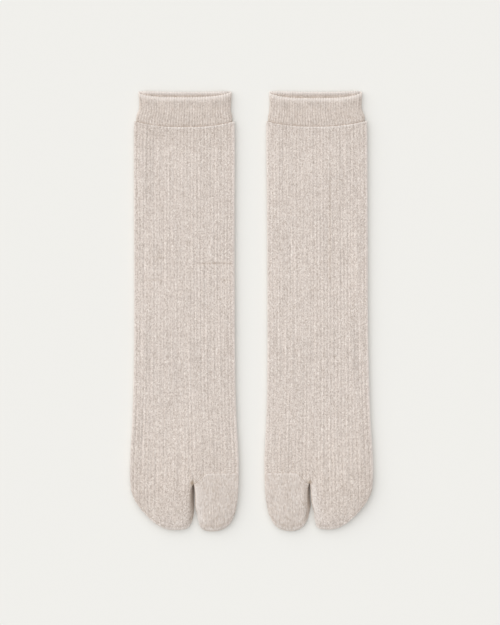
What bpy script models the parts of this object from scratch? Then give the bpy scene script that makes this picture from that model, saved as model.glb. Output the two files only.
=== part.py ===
# A pair of tabi socks in ribbed knit, lying flat side by side with the toes down.
#
# Each sock is made of three knitted pieces: a cuff of fine rib, the leg and foot in
# a wider rib, which ends in the pocket for the four small toes, and a plain big toe.
# A sock has a frame of its own: x runs across it, with the big toe at +x, y runs from
# the toes up to the cuff, and z = 0 is the surface that it lies on. Sizes are in
# millimetres, and a station is a distance down the sock from the back of its rim.

import math

import bmesh
import bpy

MM = 0.001

# Sizes of one sock
SOCK_LENGTH = 375.6
WALL = 1.9
CUFF_WALL = 2.1
LIP_RISE = 0.7              # the rounded rim, above the cuff's first ring
LIP_INSET = 0.75
SEAM_GAP = 0.3
SEAM_STATION = 25.7         # where the cuff meets the leg, at the folded sides
CROTCH_STATION = 334.6      # where the toes part
TOES_TIP = 374.8
BIG_TOE_TIP = 375.6

# How the two socks lie
LEFT_AXIS_X = -57.7
RIGHT_AXIS_X = 56.2
RIGHT_AXIS_Y = 0.4
RIGHT_TURN_DEGREES = 0.35

# Ribs on the upper side: how many, and the outline of one from valley to valley
SMALL_SIDE_RIBS = 17        # from the small toes' edge to the toe split
BIG_SIDE_RIBS = 13          # from the toe split to the big toe's edge
LEG_RIBS = SMALL_SIDE_RIBS + BIG_SIDE_RIBS
CUFF_RIBS = 36
RIB_OUTLINE = ((0.0, 0.0), (0.3, 1.0), (0.7, 1.0))
PLAIN_OUTLINE = ((0.0, 0.0), (0.5, 0.0))

# Folded edges and the toe split
UNDER_FOLD = 3.0            # how far in from an edge the underside turns up
LEAST_FOLD = 0.4            # the tightest rounding of the hollow's own edges
FOLD_STEPS = (0.0, 0.13, 0.5, 1.0)  # points of a plain row across a rounded edge
SPAN_STEPS = 4              # and its steps from there to the split
PLAIN_DIVIDE = len(FOLD_STEPS) + SPAN_STEPS     # the split's place among its points
SLOPE_STEP = 0.05           # the cloth's slope is measured over this distance
SPLIT_MARGIN = 3.0          # plain points kept this far each side of the split
SPLIT_ANGLE = math.radians(65)      # where a pocket's top passes into its split side
WEB_ANGLES = (math.radians(35), 0.0, math.radians(-35))
WEB_HEIGHTS = (0.8, 0.5, 0.2)       # the web between the toes, as shares of the height
WEB_BOW = (0.7, 1.0, 0.7)           # how far the web bows into the split
HOLLOW_WEB_BOW = (0.2, 0.3, 0.2)
TOE_LEAD = 9.4              # the plain big toe starts this far above the crotch
TOE_LEAD_WIDTH = 13.0
DIP_POWER = 2.4             # how square the hanging middle of a rim or seam is

# Columns of the tables. small and big are the edges' places across the sock, fold is
# the reach of the rounded edge, dip is how far the middle hangs below the sides, drop
# is how far the upper layer lies below the lower one, rib is the ribs' height and
# lead is the share of the way that a ring already takes towards the big toe's line.
TUBE_COLUMNS = ("station", "small", "big", "height", "fold", "dip", "drop", "rib", "lead")
CUFF_SECTIONS = (
    (0.3, -39.2, 40.2, 5.9, 3.6, 1.5, 3.6, 0.20, 0.0),
    (3.0, -39.4, 40.3, 6.0, 3.8, 1.7, 3.1, 0.38, 0.0),
    (12.0, -39.4, 40.2, 5.7, 4.0, 2.7, 1.2, 0.38, 0.0),
    (20.0, -40.0, 40.4, 5.3, 4.0, 4.0, 0.3, 0.38, 0.0),
    (24.5, -41.1, 41.2, 5.1, 4.0, 4.8, 0.0, 0.34, 0.0),
    (SEAM_STATION, -41.4, 41.4, 4.8, 3.8, 4.8, 0.0, 0.15, 0.0),
)
LEG_SECTIONS = (
    (SEAM_STATION + SEAM_GAP, -41.9, 42.0, 5.0, 3.8, 4.8, 0.0, 0.15, 0.0),
    (27.0, -42.7, 42.8, 5.4, 4.0, 4.8, 0.0, 0.40, 0.0),
    (30.5, -43.2, 43.1, 5.1, 4.0, 4.7, 0.0, 0.55, 0.0),
    (50.0, -43.3, 43.2, 5.0, 4.0, 3.2, 0.0, 0.55, 0.0),
    (90.0, -43.1, 43.0, 5.1, 4.0, 1.2, 0.0, 0.55, 0.0),
    (134.0, -43.0, 42.9, 4.9, 4.0, 0.0, 0.0, 0.55, 0.0),
    (180.0, -42.8, 43.1, 5.1, 4.0, 0.0, 0.0, 0.55, 0.0),
    (222.0, -43.0, 43.3, 5.2, 4.0, 0.0, 0.0, 0.55, 0.0),
    (256.0, -43.6, 43.7, 5.2, 4.2, 0.0, 0.0, 0.55, 0.0),
    (282.0, -44.4, 44.6, 5.4, 4.6, 0.0, 0.0, 0.55, 0.0),
    (302.0, -45.7, 45.7, 5.6, 5.0, 0.0, 0.0, 0.55, 0.15),
    (318.0, -46.5, 46.4, 6.0, 5.6, 0.0, 0.0, 0.55, 0.50),
    (327.0, -46.6, 46.5, 6.3, 6.0, 0.0, 0.0, 0.50, 0.78),
    (CROTCH_STATION, -46.3, 46.4, 6.6, 6.5, 0.0, 0.0, 0.50, 1.0),
)
POCKET_COLUMNS = ("station", "outer", "split", "height", "fold", "split_fold", "rib", "lead")
TOES_SECTIONS = (
    (CROTCH_STATION + 1.4, -46.0, 7.2, 6.8, 6.8, 1.6, 0.48, 0.0),
    (341.0, -44.8, 6.7, 7.1, 8.0, 3.2, 0.45, 0.0),
    (348.0, -42.8, 6.0, 7.3, 9.0, 4.6, 0.42, 0.0),
    (352.7, -40.3, 5.4, 7.3, 10.0, 5.4, 0.38, 0.0),
    (357.5, -36.7, 4.9, 7.2, 10.0, 6.0, 0.32, 0.0),
    (362.5, -32.2, 4.1, 6.9, 10.0, 6.4, 0.24, 0.0),
    (366.6, -28.0, 2.9, 6.3, 9.5, 6.6, 0.16, 0.0),
    (370.2, -23.6, 1.3, 5.4, 8.5, 6.6, 0.08, 0.0),
    (372.8, -18.7, -1.6, 4.2, 7.0, 6.0, 0.0, 0.0),
    (374.3, -14.3, -5.6, 2.6, 4.0, 4.0, 0.0, 0.0),
)
BIG_TOE_SECTIONS = (
    (CROTCH_STATION + 0.8, 46.4, 8.2, 6.7, 6.7, 1.2, 0.30, 1.0),
    (CROTCH_STATION + 1.1, 46.4, 8.3, 6.7, 6.7, 1.4, 0.0, 1.0),
    (338.5, 46.4, 8.8, 7.0, 7.4, 2.8, 0.0, 0.86),
    (343.5, 46.2, 9.2, 7.3, 8.4, 4.2, 0.0, 0.62),
    (349.5, 45.8, 9.4, 7.4, 9.4, 5.4, 0.0, 0.36),
    (356.0, 44.3, 9.6, 7.2, 10.0, 6.0, 0.0, 0.12),
    (360.5, 43.1, 10.8, 6.9, 10.0, 6.4, 0.0, 0.0),
    (365.4, 41.3, 12.2, 6.4, 9.5, 6.6, 0.0, 0.0),
    (369.4, 38.9, 13.4, 5.7, 8.6, 6.6, 0.0, 0.0),
    (372.4, 36.0, 15.2, 4.7, 7.6, 6.4, 0.0, 0.0),
    (374.4, 31.6, 17.8, 3.3, 5.6, 5.0, 0.0, 0.0),
    (375.2, 27.4, 21.0, 2.0, 3.0, 3.0, 0.0, 0.0),
)
DIVIDE_ON_LEG = 5.7         # the split's line of ribs, up the leg
DIVIDE_AT_CROTCH = 7.6
FAN_STATION = 200.0         # below here the ribs spread out towards the crotch
INNER_CROTCH_RISE = 2.2     # how far the hollow's own parting lies above the crotch
INNER_TIP_RISE = 2.6        # and its tips above the toes' tips
CUFF_HOLLOW_STATIONS = (3.0, 14.0, SEAM_STATION)
LEG_HOLLOW_STATIONS = (SEAM_STATION + SEAM_GAP, 50.0, 134.0, 222.0, 282.0, 318.0)
TOES_HOLLOW_STATIONS = (338.0, 347.0, 356.0, 363.0, 368.0, 371.0)
BIG_TOE_HOLLOW_STATIONS = (345.0, 354.0, 362.0, 368.0, 371.5)

CLOTH_COLOUR = (0.67, 0.60, 0.53, 1.0)
CUFF_COLOUR = (0.62, 0.56, 0.49, 1.0)
PLAIN_KNIT_COLOUR = (0.66, 0.58, 0.51, 1.0)
CLOTH_ROUGHNESS = 0.95


def clearScene():
    for old in list(bpy.data.objects):
        bpy.data.objects.remove(old, do_unlink=True)


def readTable(columns, rows):
    return [dict(zip(columns, row)) for row in rows]


def sectionAt(sections, station):
    """The section at any station, between the two rows that it lies between."""
    for above, below in zip(sections, sections[1:]):
        if station <= below["station"]:
            break
    share = (station - above["station"]) / (below["station"] - above["station"])
    share = min(max(share, 0.0), 1.0)
    found = {name: above[name] + (below[name] - above[name]) * share for name in above}
    found["station"] = station
    return found


def smoothStep(value):
    value = min(max(value, 0.0), 1.0)
    return value * value * (3.0 - 2.0 * value)


def foldProfile(distance, reach):
    """The rounding of a folded edge: 0 at the edge and 1 past its reach."""
    if reach <= 0.0 or distance >= reach:
        return 1.0
    return math.sqrt(max(0.0, 1.0 - (1.0 - distance / reach) ** 2))


def ribbedColumns(ribs, outline, first=0):
    """Places across the upper layer, counted in ribs, with each one's lift."""
    columns = [
        (rib + place, lift)
        for rib in range(first, first + ribs)
        for place, lift in outline
    ]
    columns.append((float(first + ribs), 0.0))
    return columns


def tubeSides(section, inset):
    """The edges, fold reaches and parting line of a ring round the whole sock."""
    down = smoothStep((section["station"] - FAN_STATION) / (CROTCH_STATION - FAN_STATION))
    fold = max(section["fold"] - inset, LEAST_FOLD)
    return {
        "low": section["small"] + inset,
        "high": section["big"] - inset,
        "low_fold": fold,
        "high_fold": fold,
        "divide": DIVIDE_ON_LEG + (DIVIDE_AT_CROTCH - DIVIDE_ON_LEG) * down,
    }


def pocketSides(section, inset, isBigToe):
    """The same for a ring round one pocket, whose parting line is its split side."""
    fold = max(section["fold"] - inset, LEAST_FOLD)
    splitFold = max(section["split_fold"] - inset, LEAST_FOLD)
    inward = 1.0 if isBigToe else -1.0
    outer = section["outer"] - inward * inset
    split = section["split"] + inward * inset
    sides = {
        "low": split if isBigToe else outer,
        "high": outer if isBigToe else split,
        "low_fold": splitFold if isBigToe else fold,
        "high_fold": fold if isBigToe else splitFold,
    }
    sides["divide"] = split + inward * splitFold * (1.0 - math.cos(SPLIT_ANGLE))
    return sides


def layerHeight(section, sides, x, inset, isUpper):
    """The height of a layer at x, with its edges rounded towards the fold."""
    half = section["height"] / 2.0 - inset
    lowFold = sides["low_fold"] if isUpper else min(sides["low_fold"], UNDER_FOLD)
    highFold = sides["high_fold"] if isUpper else min(sides["high_fold"], UNDER_FOLD)
    rounded = foldProfile(x - sides["low"], lowFold)
    rounded *= foldProfile(sides["high"] - x, highFold)
    return section["height"] / 2.0 + (half if isUpper else -half) * rounded


def stationAt(section, x, z):
    """Where a ring's point lies down the sock: rims and seams aren't straight lines."""
    station = section["station"]
    if section.get("dip", 0.0) or section.get("drop", 0.0):
        middle = (section["small"] + section["big"]) / 2.0
        across = abs(x - middle) / ((section["big"] - section["small"]) / 2.0)
        station += section["dip"] * (1.0 - min(across, 1.0) ** DIP_POWER)
        station += section["drop"] * z / section["height"]
    lead = smoothStep((x - DIVIDE_AT_CROTCH) / TOE_LEAD_WIDTH)
    return station - section["lead"] * TOE_LEAD * lead


def place(section, x, z):
    return (x, SOCK_LENGTH / 2.0 - stationAt(section, x, z), z)


def ribbedPoints(section, sides, columns, ribCounts, inset):
    """Points across the upper layer, the crests of its ribs raised off the cloth."""
    smallRibs, bigRibs = ribCounts
    points = []
    for number, lift in columns:
        if number < smallRibs:
            x = sides["low"] + (sides["divide"] - sides["low"]) * number / smallRibs
        else:
            share = (number - smallRibs) / bigRibs
            x = sides["divide"] + (sides["high"] - sides["divide"]) * share
        z = layerHeight(section, sides, x, inset, True)
        before = layerHeight(section, sides, x - SLOPE_STEP, inset, True)
        after = layerHeight(section, sides, x + SLOPE_STEP, inset, True)
        slope = (after - before) / (2.0 * SLOPE_STEP)
        raised = section["rib"] * lift / math.hypot(1.0, slope)
        points.append(place(section, x - slope * raised, z + raised))
    return points


def span(start, end):
    """Even steps from just past the start to the end."""
    return [start + (end - start) * step / SPAN_STEPS for step in range(1, SPAN_STEPS + 1)]


def plainPlaces(sides, part):
    """Places across a plain layer: close together at the folds and at the split."""
    low, high, divide = sides["low"], sides["high"], sides["divide"]
    lowFold = min(sides["low_fold"], UNDER_FOLD)
    highFold = min(sides["high_fold"], UNDER_FOLD)
    lowEdge = [low + step * lowFold for step in FOLD_STEPS]
    highEdge = [high - step * highFold for step in reversed(FOLD_STEPS)]
    if part == "small":
        return lowEdge + span(lowEdge[-1], high - highFold)
    if part == "big":
        return [low + lowFold] + span(low + lowFold, highEdge[0]) + highEdge[1:]
    lowHalf = lowEdge + span(lowEdge[-1], divide - SPLIT_MARGIN)
    highHalf = [divide + SPLIT_MARGIN] + span(divide + SPLIT_MARGIN, highEdge[0]) + highEdge[1:]
    return lowHalf + [divide] + highHalf


def plainPoints(section, sides, part, inset, isUpper):
    """Points across a plain layer, from the small toes' side to the big toe's."""
    return [
        place(section, x, layerHeight(section, sides, x, inset, isUpper))
        for x in plainPlaces(sides, part)
    ]


def splitPoint(section, sides, part, inset, angle):
    """A point on the rounded side of a pocket that faces the other pocket."""
    towards = 1.0 if part == "small" else -1.0
    edge = sides["high"] if part == "small" else sides["low"]
    fold = sides["high_fold"] if part == "small" else sides["low_fold"]
    if angle < 0.0:
        fold = min(fold, UNDER_FOLD)
    half = section["height"] / 2.0 - inset
    x = edge - towards * fold * (1.0 - math.cos(angle))
    return place(section, x, section["height"] / 2.0 + half * math.sin(angle))


class Knit:
    """One knitted piece: rings of points joined by faces into one closed body."""

    def __init__(self, side):
        self.mesh = bmesh.new()
        self.side = side

    def point(self, coordinates):
        x, y, z = coordinates
        return self.mesh.verts.new((self.side * x * MM, y * MM, z * MM))

    def tubeRing(self, section, columns, ribCounts, inset=0.0):
        """A ring round the whole sock: an upper and a lower row that share their ends."""
        sides = tubeSides(section, inset)
        if columns:
            upper = ribbedPoints(section, sides, columns, ribCounts, inset)
        else:
            upper = plainPoints(section, sides, "whole", inset, True)
        lower = plainPoints(section, sides, "whole", inset, False)
        upper = [self.point(spot) for spot in upper]
        inside = [self.point(spot) for spot in lower[1:-1]]
        return [upper, [upper[0]] + inside + [upper[-1]]]

    def pocketRing(self, section, part, columns, ribCounts, inset=0.0):
        """A ring round one pocket: the upper row, the split side and the lower row."""
        sides = pocketSides(section, inset, part == "big")
        if columns:
            upper = ribbedPoints(section, sides, columns, ribCounts, inset)
        else:
            upper = plainPoints(section, sides, part, inset, True)
            seamEnd = splitPoint(section, sides, part, inset, SPLIT_ANGLE)
            upper = upper + [seamEnd] if part == "small" else [seamEnd] + upper
        lower = plainPoints(section, sides, part, inset, False)
        lowEnd = splitPoint(section, sides, part, inset, -SPLIT_ANGLE)
        web = [splitPoint(section, sides, part, inset, angle) for angle in WEB_ANGLES]
        upper = [self.point(spot) for spot in upper]
        web = [self.point(spot) for spot in web]
        lowEnd = self.point(lowEnd)
        if part == "small":
            lower = [upper[0]] + [self.point(spot) for spot in lower[1:]] + [lowEnd]
            return [upper, [upper[-1]] + web + [lowEnd], lower]
        lower = [lowEnd] + [self.point(spot) for spot in lower[:-1]] + [upper[-1]]
        return [upper, [upper[0]] + web + [lowEnd], lower]

    def parted(self, ring, section, upperDivide, bows):
        """Parts a ring round the sock into two round its pockets, at a shared web."""
        upper, lower = ring
        top, bottom = upper[upperDivide], lower[PLAIN_DIVIDE]
        web = [top]
        for share, bow in zip(WEB_HEIGHTS, bows):
            height = (bottom.co.z + (top.co.z - bottom.co.z) * share) / MM
            x, y, z = place(section, top.co.x * self.side / MM, height)
            web.append(self.point((x, y - bow, z)))
        web.append(bottom)
        small = [upper[: upperDivide + 1], web, lower[: PLAIN_DIVIDE + 1]]
        big = [upper[upperDivide:], web, lower[PLAIN_DIVIDE:]]
        return small, big

    def joinRows(self, first, second):
        """Faces between two rows that run the same way, whatever their counts."""
        if len(first) == len(second):
            for index in range(len(first) - 1):
                self.mesh.faces.new(
                    (first[index], first[index + 1], second[index + 1], second[index])
                )
            return
        a = b = 0
        while a < len(first) - 1 or b < len(second) - 1:
            stepFirst = b == len(second) - 1
            if a < len(first) - 1 and b < len(second) - 1:
                stepFirst = self.middle(first, a) <= self.middle(second, b)
            if stepFirst:
                self.mesh.faces.new((first[a], first[a + 1], second[b]))
                a += 1
            else:
                self.mesh.faces.new((first[a], second[b + 1], second[b]))
                b += 1

    def middle(self, row, index):
        """How far across its row the middle of a step lies, from 0 to 1."""
        start, end = row[0].co.x, row[-1].co.x
        halfway = (row[index].co.x + row[index + 1].co.x) / 2.0
        return (halfway - start) / (end - start)

    def joinRings(self, rings):
        for first, second in zip(rings, rings[1:]):
            for firstRow, secondRow in zip(first, second):
                self.joinRows(firstRow, secondRow)

    def closeTip(self, ring, tip):
        """Closes a pocket's last ring with faces to one point at the toes' tip."""
        tip = self.point(tip)
        for row in ring:
            for start, end in zip(row, row[1:]):
                self.mesh.faces.new((start, end, tip))

    def finish(self, name, colour, collection, parent):
        bmesh.ops.triangulate(self.mesh, faces=self.mesh.faces)
        bmesh.ops.recalc_face_normals(self.mesh, faces=self.mesh.faces)
        data = bpy.data.meshes.new(name)
        self.mesh.to_mesh(data)
        self.mesh.free()
        data.shade_smooth()
        data.set_sharp_from_angle(angle=math.radians(50))
        data.materials.append(clothMaterial(name, colour))
        piece = bpy.data.objects.new(name, data)
        collection.objects.link(piece)
        piece.parent = parent
        return piece


def clothMaterial(name, colour):
    material = bpy.data.materials.new(name + "_knit")
    material.use_nodes = True
    shader = material.node_tree.nodes["Principled BSDF"]
    shader.inputs["Base Color"].default_value = colour
    shader.inputs["Roughness"].default_value = CLOTH_ROUGHNESS
    shader.inputs["Metallic"].default_value = 0.0
    material.diffuse_color = colour
    return material


def tipPoint(sections, tipStation):
    """The tip lies past the last ring, at half its height."""
    last = sections[-1]
    x = (last["outer"] + last["split"]) / 2.0
    return (x, SOCK_LENGTH / 2.0 - tipStation, last["height"] / 2.0)


def makeCuff(side):
    """The turned welt, open at its rim and at the seam where the leg goes on."""
    knit = Knit(side)
    sections = readTable(TUBE_COLUMNS, CUFF_SECTIONS)
    columns = ribbedColumns(CUFF_RIBS, RIB_OUTLINE)
    ribCounts = (CUFF_RIBS * SMALL_SIDE_RIBS / LEG_RIBS, CUFF_RIBS * BIG_SIDE_RIBS / LEG_RIBS)
    lip = dict(sections[0], station=-LIP_RISE, rib=0.0)
    rings = [knit.tubeRing(lip, columns, ribCounts, LIP_INSET)]
    rings += [knit.tubeRing(section, columns, ribCounts) for section in sections]
    for station in reversed(CUFF_HOLLOW_STATIONS):
        rings.append(knit.tubeRing(sectionAt(sections, station), None, None, CUFF_WALL))
    rings.append(knit.tubeRing(sections[0], None, None, CUFF_WALL))
    knit.joinRings(rings + rings[:1])
    return knit


def makeLegAndFoot(side):
    """The ribbed tube, which parts into the small toes' pocket and the big toe's start."""
    knit = Knit(side)
    tube = readTable(TUBE_COLUMNS, LEG_SECTIONS)
    toes = readTable(POCKET_COLUMNS, TOES_SECTIONS)
    start = readTable(POCKET_COLUMNS, BIG_TOE_SECTIONS)[0]
    ribCounts = (SMALL_SIDE_RIBS, BIG_SIDE_RIBS)
    allRibs = ribbedColumns(LEG_RIBS, RIB_OUTLINE)
    smallRibs = ribbedColumns(SMALL_SIDE_RIBS, RIB_OUTLINE)
    bigRibs = ribbedColumns(BIG_SIDE_RIBS, RIB_OUTLINE, SMALL_SIDE_RIBS)
    plainColumns = ribbedColumns(BIG_SIDE_RIBS, PLAIN_OUTLINE, SMALL_SIDE_RIBS)

    outer = [knit.tubeRing(section, allRibs, ribCounts) for section in tube]
    ribbedDivide = SMALL_SIDE_RIBS * len(RIB_OUTLINE)
    small, big = knit.parted(outer[-1], tube[-1], ribbedDivide, WEB_BOW)
    pocket = [small] + [knit.pocketRing(row, "small", smallRibs, ribCounts) for row in toes]
    stub = knit.pocketRing(start, "big", bigRibs, ribCounts)
    knit.joinRings(outer)
    knit.joinRings(pocket)
    knit.joinRings([big, stub])
    knit.closeTip(pocket[-1], tipPoint(toes, TOES_TIP))

    parting = dict(tube[-1], station=CROTCH_STATION - INNER_CROTCH_RISE)
    hollow = [sectionAt(tube, station) for station in LEG_HOLLOW_STATIONS] + [parting]
    inner = [knit.tubeRing(section, None, None, WALL) for section in hollow]
    small, big = knit.parted(inner[-1], parting, PLAIN_DIVIDE, HOLLOW_WEB_BOW)
    toesHollow = [sectionAt(toes, station) for station in TOES_HOLLOW_STATIONS]
    innerPocket = [knit.pocketRing(row, "small", None, None, WALL) for row in toesHollow]
    innerStub = knit.pocketRing(start, "big", plainColumns, ribCounts, WALL)
    knit.joinRings(inner)
    knit.joinRings([small] + innerPocket)
    knit.joinRings([big, innerStub])
    knit.closeTip(innerPocket[-1], tipPoint(toesHollow, TOES_TIP - INNER_TIP_RISE))

    knit.joinRings([outer[0], inner[0]])
    knit.joinRings([stub, innerStub])
    return knit


def makeBigToe(side):
    """The plain pocket, open where it goes on from the foot and closed at its tip."""
    knit = Knit(side)
    sections = readTable(POCKET_COLUMNS, BIG_TOE_SECTIONS)[1:]
    columns = ribbedColumns(BIG_SIDE_RIBS, PLAIN_OUTLINE)
    ribCounts = (0, BIG_SIDE_RIBS)
    outer = [knit.pocketRing(row, "big", columns, ribCounts) for row in sections]
    hollow = [sections[0]] + [sectionAt(sections, station) for station in BIG_TOE_HOLLOW_STATIONS]
    inner = [knit.pocketRing(row, "big", columns, ribCounts, WALL) for row in hollow]
    knit.joinRings(outer)
    knit.joinRings(inner)
    knit.joinRings([outer[0], inner[0]])
    knit.closeTip(outer[-1], tipPoint(sections, BIG_TOE_TIP))
    knit.closeTip(inner[-1], tipPoint(hollow, BIG_TOE_TIP - INNER_TIP_RISE))
    return knit


def makeSock(name, side, location, turn, collection):
    """One sock, placed by an empty. The right one is the left one mirrored."""
    holder = bpy.data.objects.new(name + "_sock", None)
    holder.location = location
    holder.rotation_euler.z = turn
    collection.objects.link(holder)
    makeCuff(side).finish(name + "_cuff", CUFF_COLOUR, collection, holder)
    makeLegAndFoot(side).finish(name + "_leg_and_foot", CLOTH_COLOUR, collection, holder)
    makeBigToe(side).finish(name + "_big_toe", PLAIN_KNIT_COLOUR, collection, holder)


def main():
    clearScene()
    pair = bpy.data.collections.new("pair_of_tabi_socks")
    bpy.context.scene.collection.children.link(pair)
    leftPlace = (LEFT_AXIS_X * MM, 0.0, 0.0)
    rightPlace = (RIGHT_AXIS_X * MM, RIGHT_AXIS_Y * MM, 0.0)
    makeSock("left", 1.0, leftPlace, 0.0, pair)
    makeSock("right", -1.0, rightPlace, math.radians(RIGHT_TURN_DEGREES), pair)


main()
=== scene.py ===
# A pair of tabi socks in heathered rib knit, laid flat side by side with the toes down.
#
# Every piece is a sheet of knitting on the form of its solid: its points stand in rows
# and columns, as stitches do. A sock is worked in places of its own, in millimetres:
# x runs across it from its middle, with the big toe at +x, and y and z are the frame's.
# Each half of a sock runs from its outer edge in to where the toes part, so a, the place
# across a half, is x on the small toes' half and -x on the big toe's.

import math

import bmesh
import bpy
import numpy as np
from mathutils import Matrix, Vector
from mathutils.bvhtree import BVHTree


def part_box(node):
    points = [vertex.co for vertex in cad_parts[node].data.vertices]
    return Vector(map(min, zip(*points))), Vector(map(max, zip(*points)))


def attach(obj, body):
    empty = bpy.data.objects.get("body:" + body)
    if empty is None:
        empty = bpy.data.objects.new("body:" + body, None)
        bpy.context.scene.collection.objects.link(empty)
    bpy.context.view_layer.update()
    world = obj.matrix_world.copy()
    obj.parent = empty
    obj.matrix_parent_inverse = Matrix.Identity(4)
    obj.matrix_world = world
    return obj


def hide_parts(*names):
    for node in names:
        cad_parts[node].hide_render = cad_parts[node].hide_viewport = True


mm = 0.001
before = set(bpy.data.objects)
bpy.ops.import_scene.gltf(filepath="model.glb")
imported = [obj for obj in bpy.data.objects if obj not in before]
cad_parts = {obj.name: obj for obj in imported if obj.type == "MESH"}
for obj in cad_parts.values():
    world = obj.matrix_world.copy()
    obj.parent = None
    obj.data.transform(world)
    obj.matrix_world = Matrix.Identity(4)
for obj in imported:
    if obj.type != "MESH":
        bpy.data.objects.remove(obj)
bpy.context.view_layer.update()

weldGap = 0.004  # points closer than this are one point
smallHalf = 1.0
bigHalf = -1.0

# How the outlines and heights are read from the solids
reading = {
    "farAway": 90,  # rays start this far from a sock's middle
    "levels": (0.8, 1.5, 2.2, 2.9, 3.6, 4.3),
    "pairLift": (-0.3, 0.3),  # two rays side by side, so that one misses the gap at a seam
    "crownDrop": 1.5,  # the outlines start this far under the cuff's seam
    "edgeStep": 2,
    "slitStep": 1,
    "sweepStep": 3,  # degrees between the rays round a toe
    "softness": 2.4,  # the outlines' corners are rounded over this
    "toeCentre": {smallHalf: (-19, 25), bigHalf: (-28, 22)},  # a, and y above its tip
    "slit": (7.6, 5),  # its middle, and how far past it the rays to its sides start
    "slitMargin": 1.6,  # its sides are read up to this far below the crotch
    "crotch": ((7.3, 7.7), 6.2),  # the places and the height of the rays up the slit
    # the bow of a rim or seam: its solid, its rays' start from the cuff's top, way and height
    "bows": {
        "legTop": ("leg_and_foot", -20, -1, 1),
        "cuffEnd": ("cuff", -36, 1, 1),
        "rimBack": ("cuff", 5, -1, 1.05),
        "rimFront": ("cuff", 5, -1, 4.85),
    },
    "bowPlaces": (-40, 40.1, 1),
    "bowWidth": 42,
    "bowPower": 2.4,  # how square it hangs
    "bowReach": 12,
    # rays along the big toe to its starting line: their places, height, reach and starts
    "toePlaces": (8.6, 44.1, 0.6),
    "toeLevel": 5.7,
    "toeReach": 90,
    "belowToe": 10,
    "aboveToe": 80,
    # the ribs' crests: from where to where across a piece, and how far in from its two ends
    "crestSpans": {"cuff": (-30, 30, 3, 1.5), "leg_and_foot": (-30, 5, 5, 0.6),
                   "big_toe": (16, 40, 0.5, 0.6)},
    "crestStep": (1.5, 0.7),  # down a piece and across it
    "crestSoftness": 4,
    "farAbove": 30,
    "cuffSpan": (4, 1),  # how far in from the cuff's two ends its sides are read
}


def ease(value):
    # rises softly from 0 to 1
    value = np.clip(value, 0, 1)
    return value * value * (3.0 - 2 * value)


def within(value, start, end, fade):
    # 1 from the start to the end, with soft ends
    return ease((value - start) / fade) * ease((end - value) / fade)


def hump(value, place, width):
    # 1 at a place, falling softly away to both sides
    return np.exp(-(((value - place) / width) ** 2))


def quarterRound(distance, reach):
    # the rounding of a folded edge: 0 at the edge and 1 past its reach
    share = np.clip(distance / reach, 0, 1)
    return np.sqrt(1 - (1 - share) ** 2)


def tableAt(table, value):
    return np.interp(value, *np.array(table).T)


def softLine(points, step=0.5, softness=reading["softness"]):
    # an evenly spaced line through the points, its corners softened and its ends kept
    points = np.array(points)
    run = np.concatenate([[0.0], np.cumsum(np.hypot(*np.diff(points, axis=0).T))])
    even = np.linspace(0.0, run[-1], int(run[-1] / step) + 1)
    line = np.stack([np.interp(even, run, points[:, axis]) for axis in (0, 1)], 1)
    half = int(3 * softness / step)
    weights = np.exp(-0.5 * (np.arange(-half, half + 1) * step / softness) ** 2)
    weights /= weights.sum()
    before = 2 * line[0] - line[half:0:-1]
    after = 2 * line[-1] - line[-2 : -half - 2 : -1]
    padded = np.concatenate([before, line, after])
    return np.stack([np.convolve(padded[:, axis], weights, "valid") for axis in (0, 1)], 1)


def along(line, values, axis):
    # the other coordinate of a line, at these values of the one that axis names
    order = np.argsort(line[:, axis], kind="stable")
    return np.interp(values, line[order, axis], line[order, 1 - axis])


def lowestPoint(line):
    return int(np.argmin(line[:, 1]))


def distanceTo(line, a, y):
    # how far each point lies from a line of points
    spots = np.stack([a.ravel(), y.ravel()], 1)
    nearest = np.full(len(spots), 1e9)
    for start, end in zip(line[:-1], line[1:]):
        way = end - start
        offset = spots - start
        share = np.clip(offset @ way / (way @ way), 0, 1)
        gap = offset - share[:, None] * way
        nearest = np.minimum(nearest, np.hypot(gap[:, 0], gap[:, 1]))
    return nearest.reshape(a.shape)


def solidTree(node):
    merged = bmesh.new()
    merged.from_mesh(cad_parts[node].data)
    bmesh.ops.remove_doubles(merged, verts=merged.verts, dist=weldGap * mm)
    tree = BVHTree.FromBMesh(merged)
    merged.free()
    return tree


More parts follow.
